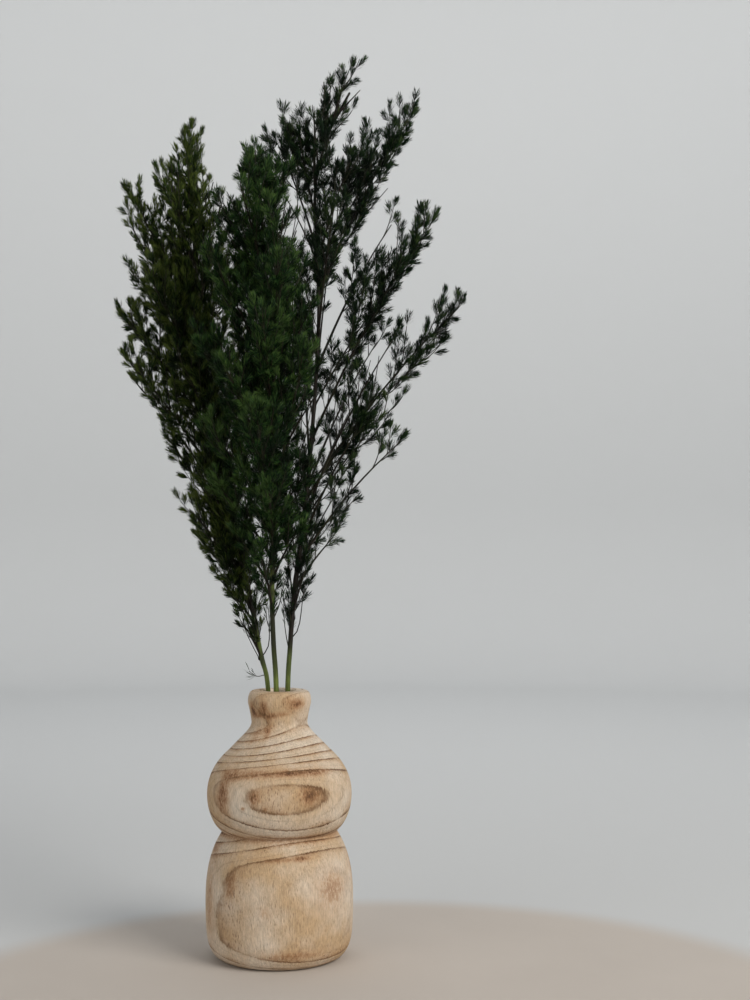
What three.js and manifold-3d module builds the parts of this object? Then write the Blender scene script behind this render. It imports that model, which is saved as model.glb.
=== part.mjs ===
// A turned wooden gourd vase holding three leafy stems of preserved ming fern.
// Millimetres, +Z up. The origin is the centre of the vase's foot, and -Y is the front.
//
// The vase is one solid of revolution with a drilled bore. Each fern is one solid: a tapered main
// stem, branches that leave it steeply and arch outwards, and sprays of needles along them.
import * as THREE from "three";
import Module from "manifold-3d";

const wasm = await Module();
wasm.setup();

// Vase
const VASE_HEIGHT = 212;
const FOOT_RADIUS = 44;
const LOWER_BELLY_RADIUS = 58.4;
const WAIST_RADIUS = 45.2;
const WAIST_HEIGHT = 100.5;
const UPPER_BELLY_RADIUS = 57.7;
const UPPER_BELLY_HEIGHT = 130;
const NECK_RADIUS = 22.3;
const NECK_HEIGHT = 187;
const LIP_RADIUS = 25.2;
const BORE_RADIUS = 12;
const BORE_DEPTH = 165;
const VASE_SEGMENTS = 36;
const CURVE_DIVISIONS = 4;

// Ferns
const SEAT_GAP = 0.3;
const STEM_SIDES = 6;
const STEM_TIP_RADIUS = 1.2;
const BRANCH_RADII = [1.35, 1.1];
const BRANCH_ARCH = 0.1;
const BRANCH_BEND = 0.45;
const FIRST_TWIG = 22;
const TWIG_SPACING = 24;
const LONGEST_TWIG = 42;
const SHORTEST_TWIG = 28;
const END_SPRAY = 28;
const SPRAY_RADII = [1.3, 0.9];
const FIRST_WHORL = 0.4;
const NODE_LENGTH = 2.3;
const NEEDLE_LENGTH = 10.5;
const NEEDLE_OUTWARD = 0.66;
const NEEDLE_FORWARD = [0.55, 1.05];
const NEEDLE_VARIATION = 0.15;
const TWIG_VARIATION = 0.12;
const TWIG_OPENNESS = [0.85, 0.6];
const TWIG_LIFT = 0.25;
const TURNS_TO_TRY = 6;
const LAST_GAP = 12;
const FERN_CLEARANCE = 0.8;
const TOUCH_VOLUME = 0.001;
const GOLDEN_ANGLE = 2.39996;

const WOOD = new THREE.MeshStandardMaterial({ color: 0xc9ab84, roughness: 0.75, metalness: 0 });
const FERN_GREEN = new THREE.MeshStandardMaterial({
  color: 0x1f3b1c,
  roughness: 0.6,
  metalness: 0,
});

// Each fern: the route of its main stem from the bore's floor to its top, and for each branch the
// place its last needles reach and the height at which it leaves the stem.
const FLOOR = VASE_HEIGHT - BORE_DEPTH + SEAT_GAP;
const FERNS = [
  {
    name: "fern_stem_left",
    radius: 2.2,
    seed: 100,
    stem: [
      [-5.5, 0.5, FLOOR], [-7.4, 0.6, 130], [-9.2, 1, 212], [-15, 3, 240], [-25, 7, 290],
      [-36, 10, 332], [-46, 15, 380], [-56, 20, 437], [-64, 25, 495], [-70, 30, 553],
      [-75, 35, 606], [-76, 38, 646],
    ],
    branches: [
      [-124, 30, 622, 470], [-134, 40, 527, 388], [-126, 6, 486, 364], [-126, 58, 471, 348],
      [-96, 20, 425, 316], [-78, 4, 368, 292], [-70, 34, 340, 276], [-54, 4, 312, 262],
      [-57, 54, 641, 556], [-105, 70, 650, 500], [-100, 104, 590, 440], [-85, 120, 515, 380],
      [-67, 108, 435, 330], [-51, 78, 365, 284], [-108, -6, 556, 430], [-82, -12, 489, 400],
      [-66, -8, 403, 310], [-58, 80, 580, 480], [-92, 10, 630, 536], [-32, -2, 276, 236],
    ],
  },
  {
    name: "fern_stem_middle",
    radius: 2.6,
    seed: 200,
    stem: [
      [-1, -6.2, FLOOR], [-1.4, -7.4, 130], [-2, -8.6, 212], [-4, -12, 250], [-5, -15, 286],
      [-4, -19, 320], [-2, -25, 364], [-3, -33, 418], [-5, -43, 480], [-8, -52, 540],
      [-10, -58, 580], [-11, -62, 600],
    ],
    branches: [
      [-41, -56, 598, 510], [-53, -62, 558, 455], [-58, -60, 489, 395], [-53, -54, 425, 345],
      [-44, -44, 379, 315], [19, -62, 580, 500], [28, -62, 516, 440], [33, -56, 452, 385],
      [28, -46, 398, 340], [18, -34, 348, 300], [-29, -34, 340, 290], [-5, -124, 506, 390],
      [-11, -114, 435, 330], [-2, -88, 377, 310], [10, -98, 588, 480], [-25, -92, 606, 520],
      [24, -92, 478, 360], [-36, -96, 470, 365], [-12, -58, 330, 278], [6, -118, 545, 425],
    ],
  },
  {
    name: "fern_stem_right",
    radius: 2.5,
    seed: 300,
    stem: [
      [4.5, 4.5, FLOOR], [5.3, 5.4, 130], [6.2, 6.4, 212], [8, 8, 245], [10, 10, 275],
      [14, 13, 313], [19, 17, 352], [24, 22, 405], [28, 30, 463], [30, 38, 521],
      [28, 46, 584], [27, 52, 627], [38, 57, 672], [55, 61, 706],
    ],
    branches: [
      [46, 28, 344, 290], [100, 25, 420, 312], [149, 29, 531, 364], [123, 18, 596, 412],
      [108, 56, 693, 533], [58, 26, 651, 560], [-8, 74, 676, 570], [94, 92, 612, 470],
      [59, 92, 455, 340], [37, 122, 585, 440], [47, 78, 382, 300], [81, 112, 513, 372],
      [12, 100, 512, 395], [26, 44, 698, 610], [44, 0, 606, 500], [92, 2, 500, 350],
      [68, 88, 660, 545], [66, 2, 432, 325], [22, 2, 318, 268],
    ],
  },
];

// The ferns stand side by side and each keeps to its own side of three walls. The walls meet in a
// line that leans left as it rises.
const WALL_FOOT = [-1, 0, 212];
const WALL_TOP = [-20, 2, 650];
const WALLS = [
  { before: "fern_stem_left", after: "fern_stem_middle", along: [-1, -0.35, 0] },
  { before: "fern_stem_middle", after: "fern_stem_right", along: [1, -0.45, 0] },
  { before: "fern_stem_right", after: "fern_stem_left", along: [0, 1, 0] },
];

const { lerp } = THREE.MathUtils;
const vector = ([x, y, z]) => new THREE.Vector3(x, y, z);

// A steady draw from 0 to 1 for each number, so that every build grows the same fern.
function draw(n) {
  const wave = Math.sin(n * 12.9898 + 4.1) * 43758.5453;
  return wave - Math.floor(wave);
}

// A factor that lies this share above or below 1 at most.
const vary = (share, n) => 1 + share * (2 * draw(n) - 1);

// The half outline of the vase: foot, two bellies with a waist between them, neck, lip and bore.
function vaseOutline() {
  const belly = UPPER_BELLY_RADIUS;
  const outline = new THREE.Path();
  outline.moveTo(0, 0);
  outline.lineTo(FOOT_RADIUS, 0);
  outline.quadraticCurveTo(57, 1, LOWER_BELLY_RADIUS, 24);
  outline.bezierCurveTo(59.5, 54, 60, 79, WAIST_RADIUS, WAIST_HEIGHT);
  outline.bezierCurveTo(51.5, 104, belly, 115, belly, UPPER_BELLY_HEIGHT);
  outline.bezierCurveTo(belly, 145, 50, 156.5, 40, 165);
  outline.bezierCurveTo(31.5, 174.5, NECK_RADIUS, 181, NECK_RADIUS, NECK_HEIGHT);
  outline.quadraticCurveTo(22.8, 193, LIP_RADIUS, 202);
  outline.quadraticCurveTo(25.6, VASE_HEIGHT, 20, VASE_HEIGHT);
  outline.lineTo(BORE_RADIUS + 1.5, VASE_HEIGHT);
  outline.lineTo(BORE_RADIUS, VASE_HEIGHT - 1.5);
  outline.lineTo(BORE_RADIUS, VASE_HEIGHT - BORE_DEPTH);
  outline.lineTo(0, VASE_HEIGHT - BORE_DEPTH);
  return outline.getPoints(CURVE_DIVISIONS);
}

function makeVase() {
  const geometry = new THREE.LatheGeometry(vaseOutline(), VASE_SEGMENTS);
  geometry.rotateX(Math.PI / 2);
  const vase = new THREE.Mesh(geometry, WOOD);
  vase.name = "vase";
  return vase;
}

// How far a place lies inside the space of one fern.
function roomAround(name, place) {
  const foot = vector(WALL_FOOT);
  const rise = vector(WALL_TOP).sub(foot);
  const distances = [];
  for (const { before, after, along } of WALLS) {
    if (before !== name && after !== name) continue;
    const normal = new THREE.Vector3().crossVectors(vector(along), rise).normalize();
    const distance = place.clone().sub(foot).dot(normal);
    distances.push(before === name ? distance : -distance);
  }
  return Math.min(...distances);
}

const middleOf = (places) =>
  places.reduce((sum, p) => sum.add(p), new THREE.Vector3()).divideScalar(places.length);

// Two directions across a line, the first as near to the guide as it can be.
function across(along, guide) {
  const first = guide.clone().addScaledVector(along, -guide.dot(along)).normalize();
  return [first, new THREE.Vector3().crossVectors(along, first)];
}

function ring(centre, [first, second], radius, sides, turn) {
  return Array.from({ length: sides }, (_, k) => {
    const angle = turn + (2 * Math.PI * k) / sides;
    const spot = centre.clone().addScaledVector(first, radius * Math.cos(angle));
    return spot.addScaledVector(second, radius * Math.sin(angle));
  });
}

// A rod that tapers along a curve, from a root ring that it is given to a flat end. It is open at
// the root. At each node a short twisted belt of small faces follows, where needles or twigs grow.
function makeRod(curve, root, radii, stops) {
  const sides = root.length;
  const length = curve.getLength();
  const guide = root[0].clone().sub(middleOf(root));
  const positions = [...root];
  const triangles = [];
  const belts = [];
  let turn = 0;
  const addRing = (share) => {
    const first = positions.length - sides;
    const sideways = across(curve.getTangentAt(share), guide);
    const radius = lerp(...radii, share);
    positions.push(...ring(curve.getPointAt(share), sideways, radius, sides, turn));
    for (let k = 0; k < sides; k++) {
      const a = first + k;
      const b = first + ((k + 1) % sides);
      triangles.push([a, b, a + sides], [b, b + sides, a + sides]);
    }
  };
  for (const { share, node } of stops) {
    addRing(share);
    if (!node) continue;
    turn += Math.PI / sides;
    addRing(share + NODE_LENGTH / length);
    belts.push(triangles.slice(-2 * sides));
  }
  const last = positions.length - sides;
  for (let k = 1; k < sides - 1; k++) triangles.push([last, last + k, last + k + 1]);
  return { sides, positions, triangles: new Set(triangles), belts, end: triangles.at(-1) };
}

// A needle drawn out of one face.
function pullNeedle(body, face, tip) {
  const [a, b, c] = face;
  const t = body.positions.push(tip) - 1;
  body.triangles.delete(face);
  for (const side of [[a, b, t], [b, c, t], [c, a, t]]) body.triangles.add(side);
}

// Joins a shoot to the body it was grown on, in place of the face that is its root.
function graft(body, face, shoot) {
  const shift = body.positions.length - 3;
  body.positions.push(...shoot.positions.slice(3));
  body.triangles.delete(face);
  for (const triangle of shoot.triangles) {
    body.triangles.add(triangle.map((index) => (index < 3 ? face[index] : index + shift)));
  }
}

// The triangles of a body with its root closed.
function closed({ sides, triangles }) {
  const root = Array.from({ length: sides - 2 }, (_, k) => [0, k + 2, k + 1]);
  return [...root, ...triangles].flat();
}

function solid(body) {
  const mesh = new wasm.Mesh({
    numProp: 3,
    vertProperties: new Float32Array(body.positions.flatMap((p) => [p.x, p.y, p.z])),
    triVerts: new Uint32Array(closed(body)),
  });
  return new wasm.Manifold(mesh);
}

const cornersOf = (body, face) => face.map((index) => body.positions[index]);

// The face of a belt that looks most nearly in a direction.
function faceTowards(body, belt, direction) {
  const heights = belt.map((face) => middleOf(cornersOf(body, face)).dot(direction));
  return belt[heights.indexOf(Math.max(...heights))];
}

// A spray: a slim core with two belts, whose faces are all drawn out into needles that lean
// forwards. The core itself ends in one more needle.
function makeSpray(root, heading, length, seed) {
  const start = middleOf(root);
  const centreAt = (distance) => start.clone().addScaledVector(heading, distance);
  const core = length - NEEDLE_LENGTH;
  const stops = [
    { share: FIRST_WHORL, node: true },
    { share: 1 - NODE_LENGTH / core, node: true },
  ];
  const line = new THREE.LineCurve3(start, centreAt(core));
  const spray = makeRod(line, root, SPRAY_RADII, stops);
  spray.belts.flat().forEach((face, index) => {
    const middle = middleOf(cornersOf(spray, face));
    const outward = middle.clone().sub(centreAt(middle.clone().sub(start).dot(heading)));
    const forward = lerp(...NEEDLE_FORWARD, draw(seed + index * 7));
    const reach = NEEDLE_LENGTH * vary(NEEDLE_VARIATION, seed + index * 11);
    const needle = outward.setLength(NEEDLE_OUTWARD).addScaledVector(heading, forward);
    needle.setLength(reach);
    pullNeedle(spray, face, middle.add(needle));
  });
  pullNeedle(spray, spray.end, centreAt(length));
  return spray;
}

// Grows a spray on one face, if it lies clear of the other ferns and of all that this one has
// grown so far.
function graftSpray(fern, body, face, heading, length, seed) {
  const spray = makeSpray(cornersOf(body, face), heading, length, seed);
  if (spray.positions.slice(3).some((p) => roomAround(fern.name, p) < FERN_CLEARANCE)) return false;
  const shape = solid(spray);
  if (fern.grown.some((other) => shape.intersect(other).volume() > TOUCH_VOLUME)) return false;
  fern.grown.push(shape);
  graft(body, face, spray);
  return true;
}

function growBranch(fern, stem, belt, [x, y, z]) {
  const axis = middleOf(belt.flatMap((face) => cornersOf(stem, face)));
  const reach = new THREE.Vector3(x, y, z).sub(axis);
  const face = faceTowards(stem, belt, reach.clone().setZ(0));
  const root = cornersOf(stem, face);
  const start = middleOf(root);
  const span = reach.length() - END_SPRAY;
  const end = axis.addScaledVector(reach.normalize(), span);
  const bend = start.clone().lerp(end, BRANCH_BEND);
  bend.z += BRANCH_ARCH * span;
  const curve = new THREE.QuadraticBezierCurve3(start, bend, end);
  const length = curve.getLength();
  const stops = [];
  for (let distance = FIRST_TWIG; distance < length - LAST_GAP; distance += TWIG_SPACING) {
    stops.push({ share: distance / length, node: true });
  }
  stops.push({ share: 1, node: false });
  const branch = makeRod(curve, root, BRANCH_RADII, stops);
  fern.grown.push(solid(branch));
  return { ...branch, curve, stops, face };
}

// Sprays at the nodes of a branch, the longest near its root, and one more on its end. A spray
// that would cross something is turned round its branch until it is clear, or left out.
function growSprays(fern, branch, seed) {
  const { curve, stops, belts } = branch;
  belts.forEach((belt, index) => {
    const share = stops[index].share;
    const axis = curve.getTangentAt(share);
    const [up, side] = across(axis, vector([0.01, 0, 1]));
    const size = lerp(LONGEST_TWIG, SHORTEST_TWIG, share);
    const length = size * vary(TWIG_VARIATION, seed + index);
    const openness = lerp(...TWIG_OPENNESS, share);
    for (let attempt = 0; attempt < TURNS_TO_TRY; attempt++) {
      const azimuth = GOLDEN_ANGLE * (index + seed) + (attempt * 2 * Math.PI) / TURNS_TO_TRY;
      const outward = up.clone().multiplyScalar(Math.cos(azimuth));
      outward.addScaledVector(side, Math.sin(azimuth));
      const heading = axis.clone().addScaledVector(outward, Math.tan(openness)).normalize();
      heading.z += TWIG_LIFT;
      const face = faceTowards(branch, belt, outward);
      const place = [face, heading.normalize(), length, seed + index * 3];
      if (graftSpray(fern, branch, ...place)) break;
    }
  });
  graftSpray(fern, branch, branch.end, curve.getTangentAt(1), END_SPRAY, seed + 50);
}

// The share of a rising curve's length at which it reaches a height.
function shareAtHeight(curve, height) {
  let low = 0;
  let high = 1;
  for (let i = 0; i < 30; i++) {
    const middle = (low + high) / 2;
    if (curve.getPointAt(middle).z < height) low = middle;
    else high = middle;
  }
  return low;
}

function makeFern({ name, radius, seed, stem, branches }) {
  const curve = new THREE.CatmullRomCurve3(stem.map(vector), false, "catmullrom", 0.5);
  const rising = branches.toSorted((a, b) => a[3] - b[3]);
  const routeHeights = stem.slice(1).map((place) => place[2]);
  const bareHeights = routeHeights.filter((height) => height < rising[0][3] - NODE_LENGTH);
  const stops = [
    ...bareHeights.map((height) => ({ share: shareAtHeight(curve, height), node: false })),
    ...rising.map((branch) => ({ share: shareAtHeight(curve, branch[3]), node: true })),
    { share: 1, node: false },
  ];
  const sideways = across(curve.getTangentAt(0), vector([1, 0, 0]));
  const foot = ring(curve.getPoint(0), sideways, radius, STEM_SIDES, 0);
  const body = makeRod(curve, foot, [radius, STEM_TIP_RADIUS], stops);
  const fern = { name, grown: [solid(body)] };
  const shoots = rising.map((branch, index) => growBranch(fern, body, body.belts[index], branch));
  shoots.forEach((shoot, index) => growSprays(fern, shoot, seed + index * 17));
  graftSpray(fern, body, body.end, curve.getTangentAt(1), END_SPRAY, seed);
  shoots.forEach((shoot) => graft(body, shoot.face, shoot));
  const geometry = new THREE.BufferGeometry().setFromPoints(body.positions);
  geometry.setIndex(closed(body));
  const mesh = new THREE.Mesh(geometry, FERN_GREEN.clone());
  mesh.name = name;
  return mesh;
}

const vaseOfFern = new THREE.Group();
vaseOfFern.add(makeVase());
for (const fern of FERNS) vaseOfFern.add(makeFern(fern));

export default vaseOfFern;
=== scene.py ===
# %% [markdown]
# # A turned wooden vase of preserved ming fern
#
# This notebook dresses a finished CAD model: a gourd-shaped vase turned from one piece of light
# wood, and three stems of preserved ming fern that stand in it. The CAD model gives the sizes and
# the places. Here each of its four solids is replaced by finer pieces of the same form, with the
# wood's year rings and burn marks, and with the thousands of thin needles that make the foliage.

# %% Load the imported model
import math

import bpy
import numpy as np
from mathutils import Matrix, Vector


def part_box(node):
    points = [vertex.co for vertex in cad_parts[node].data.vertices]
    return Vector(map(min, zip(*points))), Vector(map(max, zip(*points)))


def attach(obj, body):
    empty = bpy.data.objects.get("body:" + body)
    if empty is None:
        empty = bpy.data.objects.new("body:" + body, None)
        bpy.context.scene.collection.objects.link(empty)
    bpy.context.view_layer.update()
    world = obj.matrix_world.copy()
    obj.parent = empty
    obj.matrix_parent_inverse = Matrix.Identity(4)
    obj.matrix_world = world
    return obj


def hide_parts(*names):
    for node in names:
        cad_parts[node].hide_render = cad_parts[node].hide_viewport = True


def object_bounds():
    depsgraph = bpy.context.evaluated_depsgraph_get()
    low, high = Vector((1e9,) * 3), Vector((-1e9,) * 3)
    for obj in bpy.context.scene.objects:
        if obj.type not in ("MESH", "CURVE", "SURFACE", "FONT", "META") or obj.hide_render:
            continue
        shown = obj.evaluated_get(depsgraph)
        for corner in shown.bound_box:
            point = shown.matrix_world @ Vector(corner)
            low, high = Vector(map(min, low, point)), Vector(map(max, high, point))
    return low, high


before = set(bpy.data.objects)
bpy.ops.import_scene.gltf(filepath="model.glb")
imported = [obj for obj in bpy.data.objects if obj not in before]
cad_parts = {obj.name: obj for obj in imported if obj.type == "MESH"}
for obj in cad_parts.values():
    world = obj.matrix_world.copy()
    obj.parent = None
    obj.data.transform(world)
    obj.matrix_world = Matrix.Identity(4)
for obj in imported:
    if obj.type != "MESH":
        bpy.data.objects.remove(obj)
cad_box = [[float(value) for value in corner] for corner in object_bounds()]
print("nodes:", sorted(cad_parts))
print("CAD box in metres:", cad_box)

# %% [markdown]
# Blender works in metres, while the sizes of this object are easier to read in millimetres. One
# constant turns one into the other.

# %% Units
MM = 0.001
print("CAD height in millimetres:", round((cad_box[1][2] - cad_box[0][2]) / MM, 1))

# %% [markdown]
# ## Camera
#
# The photograph was taken from a little over a metre away, level with the foliage's lower third,
# and slightly to the right of the vase. A level camera keeps the stems and the vase upright, and a
# small vertical shift sets the horizon a little below the middle of the picture.

# %% Camera
CAMERA_PLACE = (76.4 * MM, -1280 * MM, 344 * MM)
LENS = 57.6
SENSOR_WIDTH = 36
HORIZON_SHIFT = 0.025

camera_data = bpy.data.cameras.new("camera")
camera_data.lens = LENS
camera_data.sensor_width = SENSOR_WIDTH
camera_data.shift_y = HORIZON_SHIFT
camera = bpy.data.objects.new("camera", camera_data)
camera.location = CAMERA_PLACE
camera.rotation_euler = (math.radians(90), 0, 0)
bpy.context.collection.objects.link(camera)
bpy.context.scene.camera = camera
print("camera", CAMERA_PLACE, "lens", LENS)

# %% [markdown]
# ## Helpers for colour, nodes and meshes
#
# Colours are written as they would be picked from a screen, in sRGB, and a shader wants linear
# light. One function does that step for every colour here.


# %% Colour
def linear(hex_colour):
    """The linear RGBA of a colour such as "#c8b79c"."""
    channels = [int(hex_colour[i : i + 2], 16) / 255 for i in (1, 3, 5)]
    light = [c / 12.92 if c <= 0.04045 else ((c + 0.055) / 1.055) ** 2.4 for c in channels]
    return (*light, 1.0)


print("linear tan:", linear("#c8b79c"))

# %% [markdown]
# A material is a small network of nodes. An input takes a link from another node's output, a hex
# colour or a plain value. `add_node` adds one node of any kind with its settings, its inputs and,
# for a colour ramp, its stops, and hands back the output that the next node needs.


# %% Nodes
def fill_inputs(tree, node, inputs):
    """Fills inputs from a dict by name, or from a list in the order of the node's sockets."""
    for key, value in inputs.items() if isinstance(inputs, dict) else enumerate(inputs):
        if isinstance(value, bpy.types.NodeSocket):
            tree.links.new(value, node.inputs[key])
        else:
            node.inputs[key].default_value = linear(value) if isinstance(value, str) else value


def add_node(tree, kind, output, inputs=(), stops=(), **settings):
    """A ramp's stops are (position, hex colour) or (position, grey from 0 to 1)."""
    node = tree.nodes.new("ShaderNode" + kind)
    for name, value in settings.items():
        setattr(node, name, value)
    fill_inputs(tree, node, inputs)
    if stops:
        elements = node.color_ramp.elements
        while len(elements) < len(stops):
            elements.new(0.5)
        for element, (position, value) in zip(elements, stops):
            element.position = position
            element.color = linear(value) if isinstance(value, str) else (value, value, value, 1)
    return node.outputs[output]


def new_material(name):
    """A material with an empty Principled shader, and its node tree."""
    material = bpy.data.materials.new(name)
    material.use_nodes = True
    tree = material.node_tree
    return material, tree, tree.nodes["Principled BSDF"]


# %% [markdown]
# Every piece here is grown from many small parts: rings of a lathe, lengths of stem, single
# needles. `Growth` collects their points and faces, with named numbers for each point that the
# materials read later, and turns them into one mesh. Thousands of separate objects would be far
# slower, and a mesh written from whole arrays takes a moment.


# %% Meshes
class Growth:
    def __init__(self, *value_names):
        self.points = []
        self.faces = []
        self.values = {name: [] for name in value_names}
        self.count = 0

    def add(self, points, faces, **values):
        """Adds points (n, 3) and one or more arrays of faces, numbered from this part's 0."""
        points = np.asarray(points, dtype=float).reshape(-1, 3)
        self.points.append(points)
        for array in faces:
            self.faces.append(np.asarray(array) + self.count)
        for name, kept in self.values.items():
            kept.append(np.broadcast_to(values[name], len(points)))
        self.count += len(points)

    def triangles(self):
        return sum(len(array) * (array.shape[1] - 2) for array in self.faces)

    def split(self, count):
        """The same parts in several growths, in the order in which they were added."""
        shares = [Growth(*self.values) for _ in range(count)]
        start = 0
        for index, points in enumerate(self.points):
            share = shares[index * count // len(self.points)]
            values = {name: kept[index] for name, kept in self.values.items()}
            share.add(points, [self.faces[index] - start], **values)
            start += len(points)
        return shares

    def make(self, name, smooth):
        mesh = bpy.data.meshes.new(name)
        corners = np.concatenate([array.ravel() for array in self.faces])
        sizes = np.concatenate([np.full(len(a), a.shape[1]) for a in self.faces])
        starts = np.concatenate([[0], np.cumsum(sizes)[:-1]])
        mesh.vertices.add(self.count)
        mesh.vertices.foreach_set("co", np.concatenate(self.points).astype(np.float32).ravel())
        mesh.loops.add(len(corners))
        mesh.loops.foreach_set("vertex_index", corners.astype(np.int32))
        mesh.polygons.add(len(sizes))
        mesh.polygons.foreach_set("loop_start", starts.astype(np.int32))
        mesh.polygons.foreach_set("use_smooth", np.full(len(sizes), smooth))
        for value_name, arrays in self.values.items():
            layer = mesh.attributes.new(value_name, "FLOAT", "POINT")
            layer.data.foreach_set("value", np.concatenate(arrays).astype(np.float32))
        mesh.update(calc_edges=True)
        mesh.validate()
        piece = bpy.data.objects.new(name, mesh)
        bpy.context.collection.objects.link(piece)
        print(f"{name}: {self.count} points, {self.triangles()} triangles")
        return piece


def turned_grid(rows, steps):
    """Point numbers of a turned surface, and the four-sided faces between its rows."""
    grid = np.arange(rows * steps).reshape(rows, steps)
    beside = np.roll(grid, -1, axis=1)
    quads = np.stack([grid[:-1], beside[:-1], beside[1:], grid[1:]], axis=-1).reshape(-1, 4)
    return grid, beside, quads


print("faces of a tube with 3 rings of 6 points:", len(turned_grid(3, 6)[2]))

# %% [markdown]
# ## The vase's form
#
# The vase is a turned gourd: a broad lower belly on a flat foot, a sharp waist groove, a rounder
# upper belly, a short neck and a rolled lip with a drilled bore. A lathe is how the real one was
# made and is the natural way to build it. Each row below holds the control points of one line or
# curve of the outline, as distance from the axis and height. They are the same as in the CAD
# model.

# %% Vase outline
FOOT_RADIUS = 44
LOWER_BELLY_RADIUS = 58.4
WAIST = (45.2, 100.5)
UPPER_BELLY = (57.7, 130)
SHOULDER = (40, 165)
NECK = (22.3, 187)
LIP = (25.2, 202)
VASE_HEIGHT = 212
BORE_RADIUS = 12
BORE_FLOOR = 47
WIDEST = 58.88

OUTLINE_CURVES = [
    [(0, 0), (FOOT_RADIUS, 0)],
    [(FOOT_RADIUS, 0), (57, 1), (LOWER_BELLY_RADIUS, 24)],
    [(LOWER_BELLY_RADIUS, 24), (59.5, 54), (60, 79), WAIST],
    [WAIST, (51.5, 104), (57.7, 115), UPPER_BELLY],
    [UPPER_BELLY, (57.7, 145), (50, 156.5), SHOULDER],
    [SHOULDER, (31.5, 174.5), (22.3, 181), NECK],
    [NECK, (22.8, 193), LIP],
    [LIP, (25.6, VASE_HEIGHT), (20, VASE_HEIGHT)],
    [(20, VASE_HEIGHT), (BORE_RADIUS + 1.5, VASE_HEIGHT)],
    [(BORE_RADIUS + 1.5, VASE_HEIGHT), (BORE_RADIUS, VASE_HEIGHT - 1.5)],
    [(BORE_RADIUS, VASE_HEIGHT - 1.5), (BORE_RADIUS, BORE_FLOOR)],
    [(BORE_RADIUS, BORE_FLOOR), (0, BORE_FLOOR)],
]
print("curves in the outline:", len(OUTLINE_CURVES))

# %% [markdown]
# The curves are sampled every 1.5 mm, so closely that no facet shows. The bore is out of sight and
# gets far fewer points.

# %% Sample the outline
OUTLINE_SPACING = 1.5
BORE_COARSENESS = 6


def bezier(controls, shares):
    """Points on a curve of 2, 3 or 4 control points, by repeated mixing of its neighbours."""
    layer = [np.asarray(control, dtype=float) for control in controls]
    shares = np.asarray(shares, dtype=float)[:, None]
    while len(layer) > 1:
        layer = [a * (1 - shares) + b * shares for a, b in zip(layer, layer[1:])]
    return layer[0]


def sample_outline():
    places = [np.array([[0.0, 0.0]])]
    for controls in OUTLINE_CURVES:
        rough = bezier(controls, np.linspace(0, 1, 40))
        length = np.linalg.norm(np.diff(rough, axis=0), axis=1).sum()
        inside = controls[0][0] <= BORE_RADIUS and controls[0][1] > BORE_FLOOR
        spacing = OUTLINE_SPACING * (BORE_COARSENESS if inside else 1)
        steps = max(2, round(length / spacing))
        places.append(bezier(controls, np.linspace(0, 1, steps + 1)[1:]))
    return np.concatenate(places)


outline = sample_outline()
outline[:, 0] = np.minimum(outline[:, 0], WIDEST)
print("outline points:", len(outline))

# %% [markdown]
# ## Smooth lines
#
# Several things here follow a smooth line through a few given points: how the rings wander with
# height, and later the fern stems. Most curves only lean towards the points that they are given,
# and this kind passes through each of them.

# %% Smooth lines
SAMPLES_PER_SPAN = 16


def through(places):
    """A smooth line through the places, closely sampled."""
    places = np.asarray(places, dtype=float)
    before = 2 * places[:1] - places[1:2]
    beyond = 2 * places[-1:] - places[-2:-1]
    places = np.concatenate([before, places, beyond])
    share = np.linspace(0, 1, SAMPLES_PER_SPAN, endpoint=False)[:, None]
    parts = []
    for previous, a, b, following in zip(places, places[1:], places[2:], places[3:]):
        leave = (b - previous) / 2
        arrive = (following - a) / 2
        square = (3 * (b - a) - 2 * leave - arrive) * share**2
        cube = (2 * (a - b) + leave + arrive) * share**3
        parts.append(a + leave * share + square + cube)
    return np.concatenate([*parts, places[-2:-1]])


print("samples on a line through 3 points:", len(through([(0, 0), (1, 1), (2, 0)])))

# %% [markdown]
# ## The year rings
#
# The wood's figure comes from where the turned surface cuts the tree's year rings. The pith ran
# almost along the vase's axis, so where a belly bulges out it breaks through one ring after
# another and shows nested ovals, and on the slanting shoulder the rings run round it as tilted
# lines. A picture wrapped round the vase couldn't do that on every side. The number `ring` is the
# distance from the pith, counted in rings 6 mm wide. The pith wanders with height, which tilts the
# lines and moves the ovals round, and each row below says how.

# %% Ring numbers
RING_WIDTH = 6
RING_EDGE = 59.3
EDGE_NUMBER = 20
# Height, how far the pith lies off the axis, how oval the rings are, the angle at which the
# surface is farthest from the pith (from the front towards +X), how much the ring widths before
# here add up to, and how lopsided the rings are. All but the angle are in millimetres.
PITH_ROUTE = through(
    [
        (-10, 6.3, 0, 40, -6.5, 0),
        (4, 6.3, 0, 40, -3, 0),
        (18, 5.4, 0, 40, -0.3, 0),
        (32, 5.3, 0, 40, -0.1, 0),
        (55, 5.3, 0, 40, -0.1, 0),
        (72, 5.6, 0, 40, 1, 0),
        (82, 6.5, 0, 40, 1.9, 0),
        (92, 7.4, 0.2, 42, 0.4, 0),
        (106, 6.2, 1.2, 18, -1.8, 2),
        (120, 5.4, 1.5, 8.5, 0.4, 3),
        (135, 5.4, 1.5, 8.5, 2.1, 3),
        (146, 5.5, 1.4, 10, 3, 2.8),
        (156, 5.8, 1, 30, 2.2, 1.5),
        (168, 6, 0.5, 60, 0.3, 0),
        (182, 6, 0.5, 60, 0, 0),
        (212, 6, 0.5, 60, 0, 0),
    ]
)

# Waves in the rings: depth and height in millimetres, and how many go round the trunk.
RIPPLES = [(0.12, 9, 2), (0.08, 4, -3)]


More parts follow.
